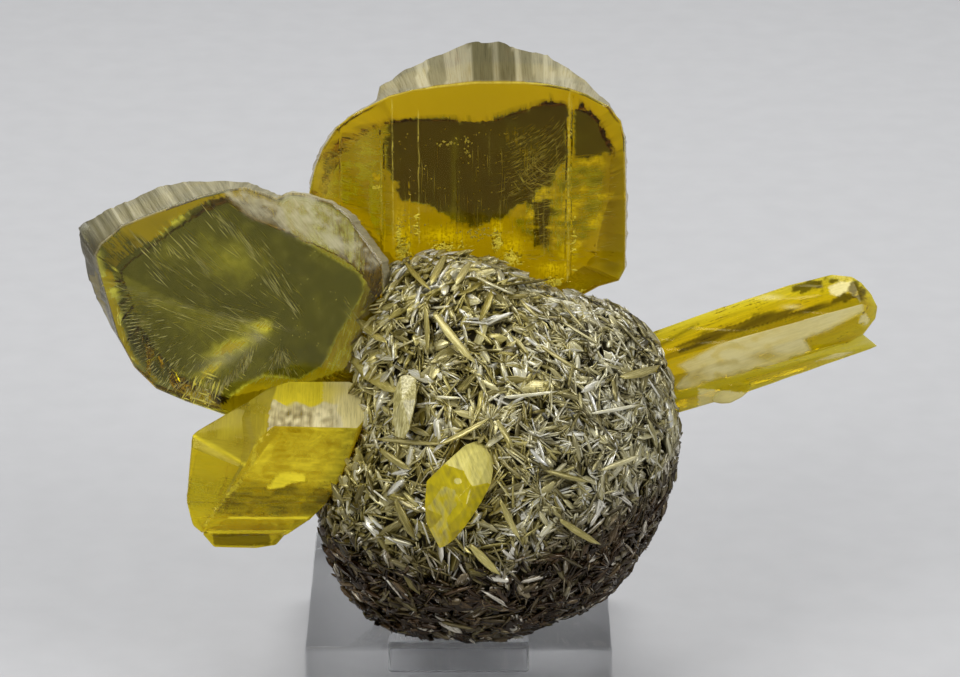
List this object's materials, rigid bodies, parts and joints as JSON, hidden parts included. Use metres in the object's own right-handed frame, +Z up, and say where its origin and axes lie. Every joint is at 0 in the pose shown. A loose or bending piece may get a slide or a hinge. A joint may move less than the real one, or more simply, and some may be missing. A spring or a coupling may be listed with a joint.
{
  "type": "gypsum crystal specimen on a clear stand",
  "caption": "Ball of small gypsum blades with large clear yellow plate crystals grown out of it, nested in the shallow seat of a clear acrylic display block.",
  "frame": {"origin": "centre of the block's bottom face", "axes": "+Z up, -Y towards the front of the specimen, +X to its right"},
  "size_m": [0.1996, 0.1092, 0.1615],
  "materials": {
    "acrylic": "polished clear acrylic, lightly scratched",
    "blades": "glassy to pearly, translucent tan blades",
    "honey_crystal": "clear glassy honey yellow, pearly striated rims",
    "olive_crystal": "clear glassy olive yellow, feathery inner veils",
    "pearl_crystal": "pearly striated"
  },
  "bodies": {
    "root": {"stand_block": "acrylic", "blade_ball": "blades", "crystal_top": "honey_crystal", "crystal_left_large": "olive_crystal", "crystal_left_small": "honey_crystal", "crystal_front_small": "honey_crystal", "crystal_right": "honey_crystal", "crystal_tablet": "pearl_crystal"}
  },
  "joints": []
}
